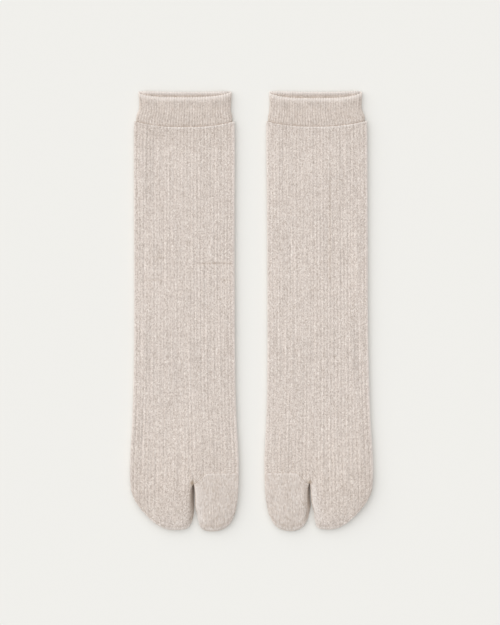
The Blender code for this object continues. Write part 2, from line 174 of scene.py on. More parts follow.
class SockForm:
    # The outlines, seams and heights of one sock, read from its solids with rays

    def __init__(self, name, side, seed):
        low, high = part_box(name + "_leg_and_foot")
        self.name = name
        self.side = side  # 1 where the big toe is at the frame's +x
        self.middle = (low.x + high.x) / 2 / mm
        self.tip = {smallHalf: low.y / mm, bigHalf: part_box(name + "_big_toe")[0].y / mm}
        self.trees = {part: solidTree(name + "_" + part) for part in ("cuff", "leg_and_foot", "big_toe")}
        # the toe on the frame's +x side of the slit has the rounder side towards it
        roundHalf = bigHalf if side > 0.0 else smallHalf
        self.sideShape = {roundHalf: "round", -roundHalf: "upright"}
        self.readCrotch()
        self.readSeams()
        self.readOutlines()
        self.readHeights()
        rowsAndRibs, limit = stitchShape["tones"]
        self.tone = np.random.default_rng(seed).normal(size=rowsAndRibs).clip(-limit, limit)

    def cast(self, part, start, way):
        x, y, z = start
        origin = Vector(((self.middle + self.side * x) * mm, y * mm, z * mm))
        hit = self.trees[part].ray_cast(origin, Vector((self.side * way[0], way[1], way[2])))[0]
        if hit is None:
            return None
        return ((hit.x / mm - self.middle) * self.side, hit.y / mm, hit.z / mm)

    def firstMet(self, parts, x, y, way):
        # the point that level rays meet first, whichever level it is at
        found = []
        for part in parts:
            for level in reading["levels"]:
                hit = self.cast(part, (x, y, level), (way[0], way[1], 0.0))
                if hit:
                    found.append((abs(hit[0] - x) + abs(hit[1] - y), hit))
        return min(found)[1][:2] if found else None

    def crossLine(self, part, places, start, way, level, reach):
        # where rays along the sock meet the edge of a piece, as points of x and y
        hits = [self.cast(part, (x, start, level), (0.0, way, 0.0)) for x in places]
        return np.array([hit[:2] for hit in hits if hit and abs(hit[1] - start) < reach])

    def readSeams(self):
        # rims and the cuff's seam hang in smooth bows
        low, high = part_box(self.name + "_cuff")
        self.cuffMiddle = self.side * ((low.x + high.x) / 2 / mm - self.middle)
        places = np.arange(*reading["bowPlaces"])
        self.bows = {}
        for name, (part, start, way, level) in reading["bows"].items():
            line = self.crossLine(part, places, high.y / mm + start, way, level, reading["bowReach"])
            self.bows[name] = np.linalg.lstsq(self.bowTerms(line[:, 0]), line[:, 1], rcond=None)[0]
        below = self.tip[bigHalf] - reading["belowToe"]
        places = np.arange(*reading["toePlaces"])
        ray = (reading["toeLevel"], reading["toeReach"])
        self.footEnd = self.crossLine("leg_and_foot", places, below, 1.0, *ray)
        self.toeTop = self.crossLine("big_toe", places, below + reading["aboveToe"], -1.0, *ray)
        self.footEnd[0] = self.toeTop[0] = self.crotch

    def bowTerms(self, x):
        across = (np.asarray(x, float) - self.cuffMiddle) / reading["bowWidth"]
        return np.stack([np.ones_like(across), across, np.abs(across) ** reading["bowPower"]], -1)

    def bow(self, name, x):
        return self.bowTerms(x) @ self.bows[name]

    def edgePoint(self, half, parts, y):
        start = -half * reading["farAway"]
        hits = [self.firstMet(parts, start, y + lift, (half, 0.0)) for lift in reading["pairLift"]]
        return min(half * hit[0] for hit in hits if hit), y

    def slitPoint(self, half, part, y):
        middle, past = reading["slit"]
        return half * self.firstMet([part], middle + half * past, y, (-half, 0.0))[0], y

    def sweepPoint(self, half, part, centre, turn):
        x, y = half * math.cos(turn), math.sin(turn)
        far = reading["farAway"]
        hit = self.firstMet([part], half * centre[0] + far * x, centre[1] + far * y, (-x, -y))
        return half * hit[0], hit[1]

    def readOutlines(self):
        self.outline = {}
        crown = self.bow("legTop", reading["bowWidth"]) - reading["crownDrop"]
        for half, part in ((smallHalf, "leg_and_foot"), (bigHalf, "big_toe")):
            centreA, rise = reading["toeCentre"][half]
            centre = (centreA, self.tip[half] + rise)
            levels = np.arange(crown, centre[1], -reading["edgeStep"])
            line = [self.edgePoint(half, ["leg_and_foot", "big_toe"], y) for y in levels]
            turns = np.radians(np.arange(180.0, 360.1, reading["sweepStep"]))  # its lower half
            line += [self.sweepPoint(half, part, centre, turn) for turn in turns]
            step = reading["slitStep"]
            levels = np.arange(centre[1] + step, self.crotch[1] - reading["slitMargin"], step)
            line += [self.slitPoint(half, part, y) for y in levels]
            line.append((half * self.crotch[0], self.crotch[1]))
            line = softLine(line)
            started = ease((np.arange(len(line)) - lowestPoint(line)) / corners["start"])
            line[:, 0] += tableAt(corners[self.name][half], line[:, 1] - self.tip[half]) * started
            self.outline[half] = softLine(line)

    def readCrotch(self):
        places, height = reading["crotch"]
        start = self.tip[bigHalf] - reading["belowToe"]
        near = [self.cast("leg_and_foot", (x, start, height), (0.0, 1.0, 0.0)) for x in places]
        y = max(hit[1] for hit in near if hit)
        level = y - reading["slitMargin"]
        halves = ((smallHalf, "leg_and_foot"), (bigHalf, "big_toe"))
        sides = [half * self.slitPoint(half, part, level)[0] for half, part in halves]
        self.crotch = (sum(sides) / 2, y)

    def readHeights(self):
        # the height of the ribs' crests down each piece
        ends = {
            "cuff": (self.bow("rimFront", 0.0), self.bow("cuffEnd", 30.0)),
            "leg_and_foot": (self.bow("legTop", 0.0), self.tip[smallHalf]),
            "big_toe": (self.toeTop[0, 1], self.tip[bigHalf]),
        }
        down, across = reading["crestStep"]
        self.crest = {}
        for part, (top, foot) in ends.items():
            low, high, below, above = reading["crestSpans"][part]
            line = []
            for y in np.arange(top - below, foot + above, -down):
                starts = [(x, y, reading["farAbove"]) for x in np.arange(low, high, across)]
                hits = [self.cast(part, start, (0.0, 0.0, -1.0)) for start in starts]
                line.append((y, max(hit[2] for hit in hits if hit)))
            self.crest[part] = softLine(line, 1.0, reading["crestSoftness"])
        below, above = reading["cuffSpan"]
        cuffEnd = self.bow("cuffEnd", reading["bowWidth"]) + above
        levels = np.arange(self.bow("rimBack", 0.0) - below, cuffEnd, -down)
        self.cuffEdge = {}
        for half in (smallHalf, bigHalf):
            self.cuffEdge[half] = softLine([self.edgePoint(half, ["cuff"], y) for y in levels])

    def edgeA(self, half, y):
        # the outer edge of a half at y, down to where its toe turns
        line = self.outline[half]
        return along(line[: lowestPoint(line)], y, 1)

    def divideA(self, half, y):
        # the line of ribs that runs down to the crotch
        low, high = self.edgeA(smallHalf, y), -self.edgeA(bigHalf, y)
        lowEnd, highEnd = self.edgeA(smallHalf, self.crotch[1]), -self.edgeA(bigHalf, self.crotch[1])
        onLeg = legAndFoot["ribs"][smallHalf] / ribTotal
        atCrotch = (self.crotch[0] - lowEnd) / (highEnd - lowEnd)
        share = ease(1 - (y - self.crotch[1]) / legAndFoot["fanLength"])
        return half * (low + (high - low) * (onLeg + (atCrotch - onLeg) * share))

    def levels(self, part, y, ribHeight):
        # the height of the outline and of the cloth between the ribs' crests
        crest = self.crest[part]
        base = along(crest, y, 0) - ribHeight
        pocket = crest[crest[:, 0] <= self.crotch[1]]
        held = np.stack([pocket[:, 0], np.maximum.accumulate(pocket[:, 1])], 1)
        top = np.where(y < self.crotch[1], along(held, y, 0) - ribHeight, base)
        return base * tableAt(folds["heightShare"], y - self.crotch[1]), top


class Sheet:
    # A sheet of stitches between four border lines, given as points of a and y: its outer
    # edge, its inner edge, its top and its end. Rows count down it from its top.

    def __init__(self, outer, inner, top, end, outline, split, toCrotch=0):
        self.outerY, self.outerLine = outer
        self.innerY, self.innerLine = inner
        self.borders = (*top, 0), (*end, -1)
        self.count = len(self.outerY) - 1
        self.toCrotch = toCrotch  # the rows down to where the toes part
        self.outline = outline
        self.split = split  # its side along the slit
        self.isClosed = split is not None  # at the tip of its toe

    def between(self, rows, across, outer, inner):
        steps = np.arange(self.count + 1)
        outer = np.interp(rows, steps, outer)
        inner = np.interp(rows, steps, inner)
        return outer + (inner - outer) * across

    def points(self, rows, across):
        steps = np.arange(self.count + 1)
        inner = self.innerLine(self.innerY)
        a = self.between(rows, across, self.outerLine(self.outerY), inner)
        # past the crotch, only the columns near the slit follow its side
        spread = (inner - inner[self.toCrotch]) * (steps > self.toCrotch) * (self.toCrotch > 0)
        a += self.between(rows, 1.0, 0.0 * inner, spread) * (across ** 2 - across)
        y = self.between(rows, across, self.outerY, self.innerY)
        for line, fade, end in self.borders:
            outer, inner = self.outerLine(self.outerY[[end]]), self.innerLine(self.innerY[[end]])
            border = outer + (inner - outer) * across
            straight = self.outerY[end] + (self.innerY[end] - self.outerY[end]) * across
            y = y + (line(border) - straight) * np.interp(rows, steps, fade)
        return a, y


# The knitting. In each piece one stitch is drawn a little longer than the real one, and a rib
# is a single ridge in place of two or three wales, because finer ones would not show.

legAndFoot = {
    "wall": 1.9,
    "ribs": {smallHalf: 17, bigHalf: 13},  # from each edge in to where the toes part
    "stitch": 1.6,  # the length of one stitch
    "ribHeight": 0.48,
    "waleHeight": 0,
    "stitchRise": 0.14,
    "toeFade": 34,  # the ribs sink into the cloth over this much of the toes
    "fanLength": 130,  # above the crotch, the ribs spread out over this much
    "gathered": (0.35, 14),  # they stand higher below the cuff: how much, and how far down
    "seamRidge": (0.28, 0.8, 0.8),  # the first course is drawn up: how much, how far down, width
    "dipShare": 0.35,  # the courses hang like the cuff's seam over this share of the leg
    "dipPower": 1.6,
    "archStart": {smallHalf: 0.48, bigHalf: 0.72},  # from here they bend to the toes' line
    "seamEnds": (37.1, 9.4),  # the toe seam's ends, above the small toes' tip
    "hollowRows": (30, 9),  # the inner layer's rows, to the crotch and past it
    "hollowRise": 2.2,  # the hollow parts this far above the crotch
    "webBow": 0.9,  # how far the cloth bows down between the toes
    "openings": ((0, 1), (-1, 0)),  # its top, and where the big toe joins it
}
bigToe = {
    "wall": 1.9,
    "ribs": {bigHalf: 26},  # wales of plain knit
    "stitch": 1.5,
    "ribHeight": 0,
    "waleHeight": 0.16,
    "stitchRise": 0.14,
    "seamEnds": (16, 13.8),
    "hollowRows": 12,
    "topTuck": (0.35, 4),  # the first course meets the foot's last: how far, from where
    "webBow": 0,
    "openings": ((-1, 1),),
}
ribTotal = sum(legAndFoot["ribs"].values())

# One rib or wale from valley to valley: where its columns stand, how high they are, how much
# the stitches swell there, and how far, in rows, the legs of a stitch lean
stitchShape = {
    "columns": (0, 0.25, 0.5, 0.75),
    "underColumns": (0, 0.5),
    "foldColumns": (0.035, 0.11),  # two more beside the fold at a sock's edge
    "lift": (0, 1, 0.86, 1, 0),
    "swell": (-0.6, 1, 0.8, 1, -0.6),
    "lean": (0, 0.5, 0, 0.5, 0),
    "tones": ((400, 40), 2),  # each stitch's own, by row and rib, and the most it can be
    "uneven": (0.5, 0.05),  # how far single stitches swell and stand out differently
    "endRows": 2,  # the stitches grow flat over this many rows towards an end
    "pressed": (0.6, 1.5),  # the underside's share of relief, from this many ribs in
    "underYarn": 40,  # the underside's yarn starts this many ribs further on
}
folds = {
    # the outline's share of the height, going up from the crotch
    "heightShare": ((-40, 0.5), (-15, 0.5), (10, 0.55), (60, 0.6)),
    "under": 3.2,  # how far in from an edge the underside turns up
    "reach": 0.7,  # and the upper side turns down
    "leastReach": 0.4,
    "leastSplitReach": 0.3,
    "leastStep": 0.1,  # between a toe's seam and the next point of its side
    "leastHeight": 0.3,
    # the upper side's slope to its edge, going up from a toe's tip: how much, over how far
    "pillowShare": ((0, 0.6), (14, 0.52), (45, 0.36), (100, 0.3)),
    "pillowLength": ((0, 24), (40, 18), (80, 14)),
    "toeOutline": 12,  # the outline goes on into the toes from this far above them
    # the toes' sides along the slit, going down from the crotch: how far in each turns down,
    # the share and the length of its slope, how much of the gap it closes at its foot, and
    # how high that is against the outline
    "round": {"reach": ((0, 0.3), (2, 0.9), (6, 1.4), (30, 1.6)),
              "pillow": ((0, 0), (3, 0.12), (30, 0.16)), "length": 4, "pressed": 0.06, "mid": 1.5},
    "upright": {"reach": ((0, 0.3), (2, 0.9), (6, 1.3), (30, 1.8)),
                "pillow": ((0, 0), (3, 0.26), (16, 0.22), (26, 0.42)), "length": 5.5,
                "pressed": 0.6, "mid": 0.25},
    "splitMidFade": (3, 5),  # going down from the crotch, and in from the slit
    "leastMid": 0.1,  # as a share of the toe's height there
    "splitHollow": 0.35,  # how late the upright side flares out to its foot
    "pressedEnds": (1.5, 17, 10),  # the toes press together down to here from the crotch
    "splitTurn": 25,  # degrees from the upright at which a toe's top ends
    "splitTurnLength": 6,
    "seamLip": {smallHalf: 0.3, bigHalf: 0.7},  # a toe's seam stands out by this much
    "seamInset": 1.3,  # inside, it lies this many walls further in
    "closing": 8,  # how late a toe's side closes towards its seam
    "hollowBlend": 6,
    "webAngles": (0.66, 0.33, 0, -0.33, -0.66),  # the columns round a toe's side
    "webLength": 2.5,  # the web's bow fades over this much
    "webInside": 0.3,  # and is this much as deep inside
    "webRibs": 4,  # the ribs' worth of yarn across a toe's side
}

# The toes' sides along the slit are fuller than their solids', or slimmer where it is below
# 0: by how much, going up from each toe's tip
corners = {
    "start": 10,  # past a tip, it comes in over this many points
    "left": {
        smallHalf: ((0, 5), (0.8, 6), (2.5, 5.5), (5.1, 4.3), (8.5, 3.9), (11.9, 4.1), (15.3, 3.5),
                    (18.7, 2.2), (22.2, 1.1), (25.6, 0.4), (33, 0.1), (40, 0)),
        bigHalf: ((0, 2), (1.6, 2.6), (3.3, 2.2), (5.9, 1.3), (9.3, 0.5), (12.7, 0), (16.1, 0.1),
                  (19.5, 0.4), (26.4, 0.2), (33, 0)),
    },
    "right": {
        smallHalf: ((0, 4.6), (0.8, 5), (2, 4.2), (4.6, 2.3), (8, 1.4), (11.4, 0.2), (14.9, -0.4),
                    (18.3, 0.1), (25.1, 0.9), (34, 0.4), (40, 0)),
        bigHalf: ((0, 0.9), (3.3, 1.1), (5.9, 1.9), (9.3, 2.6), (12.7, 2.9), (16.1, 2.3), (19.5, 1.2),
                  (26.4, 0.3), (35, 0)),
    },
}

# Where the cloth lies a little up or down, as soft ridges and troughs: the place of each in
# its sock, its half length, its half width, its turn in degrees and its height
swells = {
    "left": (
        (-37, 128, 46, 6, 88, 0.45), (-22, 141, 14, 9, 70, -0.55), (-25, 118, 17, 7, 95, -0.5),
        (-27, 90, 15, 6.5, 82, -0.55), (-26, 38, 19, 6, 93, -0.5), (8, 84, 40, 13, 97, 0.35),
        (31, 27, 16, 6, 80, -0.45), (-6, 2, 20, 11, 60, 0.55), (12, -22, 17, 10, 115, 0.5),
        (-4, -82, 22, 8, 75, -0.5), (-31, -108, 17, 6, 100, -0.5), (20, -92, 30, 10, 84, 0.3),
        (-8, -151, 14, 10, 20, 0.5), (27, -153, 12, 9, 160, 0.4),
    ),
    "right": (
        (37, 96, 50, 6, 92, 0.4), (2, 119, 24, 12, 82, 0.5), (21, 47, 18, 7, 86, -0.5),
        (26, 10, 14, 6, 104, -0.5), (-33, 62, 34, 7, 91, 0.35), (1, -14, 20, 11, 120, 0.55),
        (-37, -41, 17, 6, 84, -0.45), (-14, 78, 26, 10, 100, -0.3), (0, -121, 13, 8, 55, -0.55),
        (22, -78, 28, 9, 96, 0.3), (-24, -104, 22, 8, 78, -0.35), (30, -155, 12, 9, 25, 0.45),
        (-9, -151, 15, 10, 155, 0.45),
    ),
}

# How much paler than the rest the cloth is painted, or browner where it is below 0: painted light and
# painted shade, and some marks of the yarn itself. A line of it is given by how much, where, in rows from
# its border or in mm, and how wide it is.
paler = {
    # painted light: the steep walls of the sock's outer edges are painted paler, more on the frame's +x
    # edges
    "edge": {"round": (0.9, 0.3), "upright": (0.5, 0.25)},  # how much, how many ribs in
    "toeTop": (0.6, 0.2, 0.9),
    "toeTopStart": (16, 6),  # it comes in from here, over this much
    "toeTopDots": 3,  # wales from one pale dot to the next
    # the toe seam's dotted pale line and a darker line beside it, then painted light on the wall at the
    # toe's tip
    "toeSeamAndTipLight": ((0.4, 2, 0.8), (-0.16, 3.6, 0.9), (0.5, 0, 1)),
    # painted highlight on the crests of the leg's first course below the cuff's seam: its place and width in
    # mm below the seam, the share the valleys lose, and how much across each sock
    "cuffSeam": (0.9, 0.8),
    "seamRibs": 0.6,  # the valleys between ribs lose this share of it
    "seam": {"left": ((-46, 0.1), (-20, 0.1), (-10, 0.45), (20, 0.45), (46, 0.4)),
             "right": ((-44, 0.4), (-20, 0.45), (14, 0.45), (22, 0.05), (46, 0.05))},
    # painted shade where the leg gathers just below the cuff, and how far down it reaches
    "gathered": {"left": -0.06, "right": -0.015},
    "gatheredLength": 18,
    # painted shade over the foot and toes, where the cloth slopes away from the light, and paler at the very
    # tip: going up from the small toes' tip
    "foot": ((0, 0.06), (8, -0.02), (18, -0.065), (45, -0.06), (70, -0.035), (80, -0.02), (120, 0)),
    # painted highlight along the round toe's side of the slit, and painted shade along the upright toe's
    # side
    "slit": {"round": (0.45, 5), "upright": (-0.2, 3.2)},  # how much, how wide
    "slitFade": (4, 3, 8),  # from the crotch, and from and over this much above the tip
    # painted shade on the toes' sides down in the slit, going down from the crotch
    "inSlit": ((0, -0.6), (8, -0.42), (16, -0.3), (22, -0.14), (32, 0)),  # going down
    "inSlitTop": 0.5,  # the share of it that the side's top loses
    # a patch of painted shade at the crotch: how much, its place from there, how wide
    "atCrotch": {"left": (-0.65, -1.1, 0.5, 1.9), "right": (-0.65, 0.1, 0.7, 1.5)},
    # single darker courses: their height, from where to where, and how much browner
    "courses": {
        "left": ((40.9, 11.5, 42, 0.45), (45.5, -28, -15, 0.3), (26.3, -36, -16, 0.35),
                 (26.3, 31, 42, 0.35)),
        "right": ((18, 1, 8, 0.3),),
    },
    "courseWidth": (0.65, 4),  # how wide one is, and over how much it ends
    "courseDots": (0.65, 0.35, 4.1),  # its evenness, its unevenness and how often that comes
    # single darker wales: their place, from where up to where, and how much browner
    "wales": {"left": (), "right": ((-9.3, 18, 125, 0.22),)},
    "waleWidth": (0.5, 15),
}


def swellAt(form, x, y):
    # how far the cloth lies up or down at a place
    total = 0.0 * x
    for centreX, centreY, length, width, turn, height in swells[form.name]:
        cosine, sine = math.cos(math.radians(turn)), math.sin(math.radians(turn))
        lengthwise = (x - centreX) * cosine + (y - centreY) * sine
        across = (y - centreY) * cosine - (x - centreX) * sine
        total = total + height * np.exp(-((lengthwise / length) ** 2) - (across / width) ** 2)
    return total


def shapeAt(name, places):
    return np.interp(places % 1.0, (*stitchShape["columns"], 1.0), stitchShape[name])


def columnPlaces(count, isUpper=True):
    # where the columns stand across a half, in ribs from its outer edge
    phases = stitchShape["columns" if isUpper else "underColumns"]
    places = [rib + phase for rib in range(count) for phase in phases]
    return np.array(sorted(places + list(stitchShape["foldColumns"]) + [float(count)]))


def outlineParts(form, half, ends, inset):
    # a toe's outline as its edge, its seam and its side along the slit
    line = form.outline[half]
    lowest = lowestPoint(line)
    outer = int(np.argmax(line[:, 1] <= form.tip[half] + ends[0]))
    inner = lowest + int(np.argmax(line[lowest:, 1] >= form.tip[half] + ends[1]))
    edge, seam, split = line[: outer + 1].copy(), line[outer : inner + 1].copy(), line[inner:].copy()
    edge[:, 0] += inset
    bulged = np.sin(np.linspace(0.0, math.pi, len(seam))) ** 0.5
    seam[:, 1] += folds["seamInset"] * inset - folds["seamLip"][half] * bulged
    split[:, 0] -= inset
    level = seam[-1, 1]
    seam[-1, 0] = along(split, level, 1)
    return edge, seam, np.concatenate([seam[-1:], split[split[:, 1] > level + folds["leastStep"]]])


def splitReach(form, half, y, isUpper, inset):
    # how far in from the slit a toe's rounding begins
    reach = tableAt(folds[form.sideShape[half]]["reach"], form.crotch[1] - y)
    if not isUpper:
        reach = np.minimum(reach, folds["under"])
    return np.maximum(reach - inset, folds["leastSplitReach"])


def topAngle(form, y):
    turned = ease((form.crotch[1] - y) / folds["splitTurnLength"])
    return np.radians(90.0 - folds["splitTurn"] * turned)


def slitLine(form, half, split, top, y, isUpper, inset):
    # where a toe's upper or lower side ends and its side along the slit begins
    reach = splitReach(form, half, y, isUpper, inset)
    closing = 1 - np.clip((top - y) / (top - split[0, 1]), 0, 1) ** folds["closing"]
    return along(split, y, 1) - reach * (1 - np.cos(topAngle(form, y))) * closing


def pillowed(gap, share, length):
    # cloth slopes down by a share of its height over the last length before an edge
    return 1 - share * np.clip(1 - gap / length, 0, 1) ** 2


def layerHeight(form, part, half, sheet, a, y, isUpper, inset, ribHeight):
    # the height of the plain cloth, rounded down towards its outline
    mid, top = form.levels(part, y, ribHeight)
    gap = a - form.edgeA(half, y) - inset
    inToes = y < form.crotch[1] + folds["toeOutline"]
    gap[inToes] = distanceTo(sheet.outline, a[inToes], y[inToes])
    reach = folds["reach"] if isUpper else folds["under"]
    rounding = quarterRound(gap, np.maximum(reach - inset, folds["leastReach"]))
    share, length = (tableAt(folds[name], y - form.tip[half]) for name in ("pillowShare", "pillowLength"))
    pillow = pillowed(gap + inset, share, length)
    if sheet.isClosed:
        below = form.crotch[1] - y
        reach = splitReach(form, half, y, isUpper, inset)
        toSplit = along(sheet.split, y, 1) - a
        started = ease(below / folds["hollowBlend"]) if inset else below > 0.0
        rounding = rounding * (1 + (quarterRound(toSplit, reach) - 1.0) * started)
        side = folds[form.sideShape[half]]
        pillow = pillow * pillowed(toSplit + inset, tableAt(side["pillow"], below), side["length"])
        down, inward = folds["splitMidFade"]
        lowered = (1 - side["mid"]) * ease(below / down)
        mid = mid * (1 - lowered * ease(1 - (toSplit + inset) / inward))
    if isUpper:
        height = (top + swellAt(form, half * a, y) - mid) * pillow - inset
        height = np.maximum(height, folds["leastHeight"])
    else:
        height = inset - mid
    z = mid + height * rounding
    z[:, 0] = mid[:, 0]
    if sheet.isClosed:
        z[-1] = mid[-1]
    return z


def outwardWays(points, isUpper):
    # the way out of the cloth at each point of a sheet
    ways = np.cross(np.gradient(points, axis=0), np.gradient(points, axis=1))
    ways /= np.maximum(np.linalg.norm(ways, axis=2, keepdims=True), 1e-9)
    return ways * np.sign(ways[..., 2].mean()) * (1.0 if isUpper else -1.0)


def addSheet(mesh, form, points, places, paleness=None):
    # a grid of stitches; places holds its points' counts of ribs and of stitches
    pale = mesh.verts.layers.float.get("paleness") or mesh.verts.layers.float.new("paleness")
    rows, columns = points.shape[:2]
    grid = bmesh.ops.create_grid(mesh, x_segments=columns - 1, y_segments=rows - 1, size=1.0)["verts"]
    uvs = mesh.loops.layers.uv.verify()
    for vert, (x, y, z) in zip(grid, points.reshape(-1, 3).tolist()):
        vert.co = ((form.middle + form.side * x) * mm, y * mm, z * mm)
    for vert, place in zip(grid, places.reshape(-1, 2).tolist()):
        for loop in vert.link_loops:
            loop[uvs].uv = place
    if paleness is not None:
        for vert, value in zip(grid, paleness.ravel().tolist()):
            vert[pale] = value


def closeCloth(mesh, openings):
    # joins the outer and the inner layer of the cloth round each opening, between two heights
    bmesh.ops.remove_doubles(mesh, verts=mesh.verts, dist=weldGap * mm)
    for low, high in openings:
        rims = [edge for edge in mesh.edges if edge.is_boundary and low < edge.verts[0].co.y < high]
        bmesh.ops.bridge_loops(mesh, edges=rims)


def addObject(name, data):
    made = bpy.data.objects.new(name, data)
    bpy.context.scene.collection.objects.link(made)
    return made


def finishPiece(mesh, form, part, material):
    node, slot = form.name + "_" + part, part + "_knit"
    name = form.name + "_" + slot
    bmesh.ops.remove_doubles(mesh, verts=mesh.verts, dist=weldGap * mm)
    bmesh.ops.recalc_face_normals(mesh, faces=mesh.faces)
    openEdges = sum(not edge.is_manifold for edge in mesh.edges)
    triangles = sum(len(face.verts) - 2 for face in mesh.faces)
    data = bpy.data.meshes.new(name)
    mesh.to_mesh(data)
    mesh.free()
    data.uv_layers[0].name = "knit"
    data.shade_smooth()
    data.materials.append(material)
    piece = addObject(name, data)
    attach(piece, "root")
    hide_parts(node)
    print(f"{name}: {triangles} triangles, {openEdges} open edges")
    return piece


def knittedLayer(form, part, style, sheet, half, places, isUpper, inset):
    # a layer of cloth with its stitches raised: its points, knitting places and paleness
    steps = np.arange(sheet.count + 1.0)[:, None]
    rows = steps + 0.0 * places
    endRows = stitchShape["endRows"]
    fade = np.minimum(1.0, np.minimum(steps, sheet.count - steps) / endRows) + 0.0 * places
    leaned = rows if inset else rows + shapeAt("lean", places) * fade
    fade[:, -1] = np.minimum(fade[:, -1], abs(steps[:, 0] - sheet.toCrotch) / endRows)
    a, y = sheet.points(leaned, places / places[-1])
    ribHeight = style["ribHeight"] * ease((y - form.tip[smallHalf]) / legAndFoot["toeFade"])
    gathered, length = legAndFoot["gathered"]
    ribHeight = ribHeight * (1 + gathered * hump(form.bow("legTop", half * a), y, length))
    z = layerHeight(form, part, half, sheet, a, y, isUpper, inset, ribHeight)
    points = np.stack([half * a, y, z], 2)
    if not inset:
        relief = stitchRelief(form, style, half, places, rows, fade, ribHeight, isUpper)
        raised = outwardWays(points, isUpper)
        if part == "leg_and_foot":
            raised[: sheet.toCrotch + 1, -1] = (0.0, 0.0, 1.0 if isUpper else -1.0)
        relief[:, 0] = 0.0
        if sheet.isClosed:
            relief = relief * np.minimum(1.0, (sheet.count - steps) / endRows)
        points = points + raised * relief[..., None]
        if part == "leg_and_foot" and isUpper:
            height, place, width = style["seamRidge"]
            below = form.bow("legTop", points[..., 0]) - points[..., 1]
            points[..., 2] += height * hump(below, place, width)
    if sheet.isClosed and isUpper:
        joinQuarters(points, places)
    yarnStart = 0.0 if isUpper else stitchShape["underYarn"]
    knitted = np.stack([half * places + 0.0 * rows + yarnStart, rows / 2], 2)
    paleness = palenessAt(form, part, half, sheet, points, places, rows) if isUpper and not inset else None
    return points, knitted, paleness


def palenessAt(form, part, half, sheet, points, places, rows):
    # the colour painted on the upper side: painted light on the edges, on the ridge below the cuff and along
    # the slit's round side, painted shade over the foot, below the cuff, along the slit's upright side and
    # at the crotch, and the yarn's own marks: the big toe's first course, the toe seam and single darker
    # courses and wales
    x, y = points[..., 0], points[..., 1]
    shape = form.sideShape[half]
    # painted light on the walls of the outer edges
    strength, width = paler["edge"][shape]
    pale = strength * hump(places, 0.0, width) + 0.0 * x
    if part == "big_toe":
        start, length = paler["toeTopStart"]
        dots = 0.5 + 0.5 * np.cos(2 * math.pi * places / paler["toeTopDots"])
        strength, place, width = paler["toeTop"]
        pale += strength * hump(rows, place, width) * (dots * ease((x - start) / length))
    else:
        below = form.bow("legTop", x) - y
        # painted highlight along the crests of the ridge below the cuff's seam
        crest = 1 + paler["seamRibs"] * (shapeAt("lift", places) - 1.0)
        pale += tableAt(paler["seam"][form.name], x) * hump(below, *paler["cuffSeam"]) * crest
        # painted shade over the foot
        pale += tableAt(paler["foot"], y - form.tip[half])
        # painted shade just below the cuff
        pale += paler["gathered"][form.name] * hump(below, 0.0, paler["gatheredLength"])
        width, fade = paler["courseWidth"]
        even, uneven, often = paler["courseDots"]
        for height, start, end, strength in paler["courses"][form.name]:
            shown = within(x, start, end, fade) * (even + uneven * np.cos(often * places))
            pale -= strength * shown * hump(y, height, width)
        width, fade = paler["waleWidth"]
        for place, start, end, strength in paler["wales"][form.name]:
            pale -= strength * within(y, start, end, fade) * hump(x, place, width)
    if sheet.isClosed:
        ended = sheet.count - rows
        dots = 0.5 + 0.5 * np.cos(math.pi * places)
        # the toe seam's two lines, then painted light on the tip's wall
        for strength, place, width in paler["toeSeamAndTipLight"]:
            pale += strength * hump(ended, place, width) * dots
            dots = 1.0  # the first line alone is dotted
        # painted highlight along the round toe's side of the slit, painted shade along the upright one's
        toSplit = along(sheet.split, y, 1) - half * x
        top, end, length = paler["slitFade"]
        shown = ease((form.crotch[1] - y) / top) * ease((y - form.tip[half] - end) / length)
        strength, width = paler["slit"][shape]
        pale += strength * hump(toSplit, 0.0, width) * shown
    # a patch of painted shade at the crotch
    strength, aside, above, width = paler["atCrotch"][form.name]
    spot = np.hypot(x - form.crotch[0] - aside, y - form.crotch[1] - above)
    return pale + strength * hump(spot, 0.0, width)


def joinQuarters(points, places):
    # along a toe's seam, the upper layer's extra columns meet the ones they share below
    shared = np.isin(places % 1.0, stitchShape["underColumns"]) | np.isin(places, stitchShape["foldColumns"])
    last = 0
    for column, isShared in enumerate(shared):
        if isShared:
            last = column
        else:
            points[-1, column] = points[-1, last]


def stitchRelief(form, style, half, places, rows, fade, ribHeight, isUpper):
    # how far the points stand out of the plain cloth
    rib = np.floor(places + 1e-6) if half == smallHalf else ribTotal - np.ceil(places - 1e-6)
    tone = form.tone[(rows / 2).astype(int), rib.astype(int)[None, :]]
    swelling, standing = stitchShape["uneven"]
    swell = shapeAt("swell", places) * np.cos(math.pi * rows) * (1 + swelling * tone) * fade
    relief = shapeAt("lift", places) * (ribHeight + style["waleHeight"] + standing * tone)
    if isUpper:
        return relief + swell * style["stitchRise"]
    share, ribs = stitchShape["pressed"]
    flat = ease(np.minimum(places, ribs) / ribs)
    return (relief - ribHeight + (swell - 1.0) * style["stitchRise"]) * flat * share


def pressedOut(form, half, y):
    # how far the foot of a toe's side comes out towards the other toe
    small, big = (form.outline[side][lowestPoint(form.outline[side]):] for side in (smallHalf, bigHalf))
    gap = np.maximum(-along(big, y, 1) - along(small, y, 1), 0.0)
    below = form.crotch[1] - y
    top, start, length = folds["pressedEnds"]
    held = ease(below / top) * (1 - ease((below - start) / length))
    return folds[form.sideShape[half]]["pressed"] * gap * held


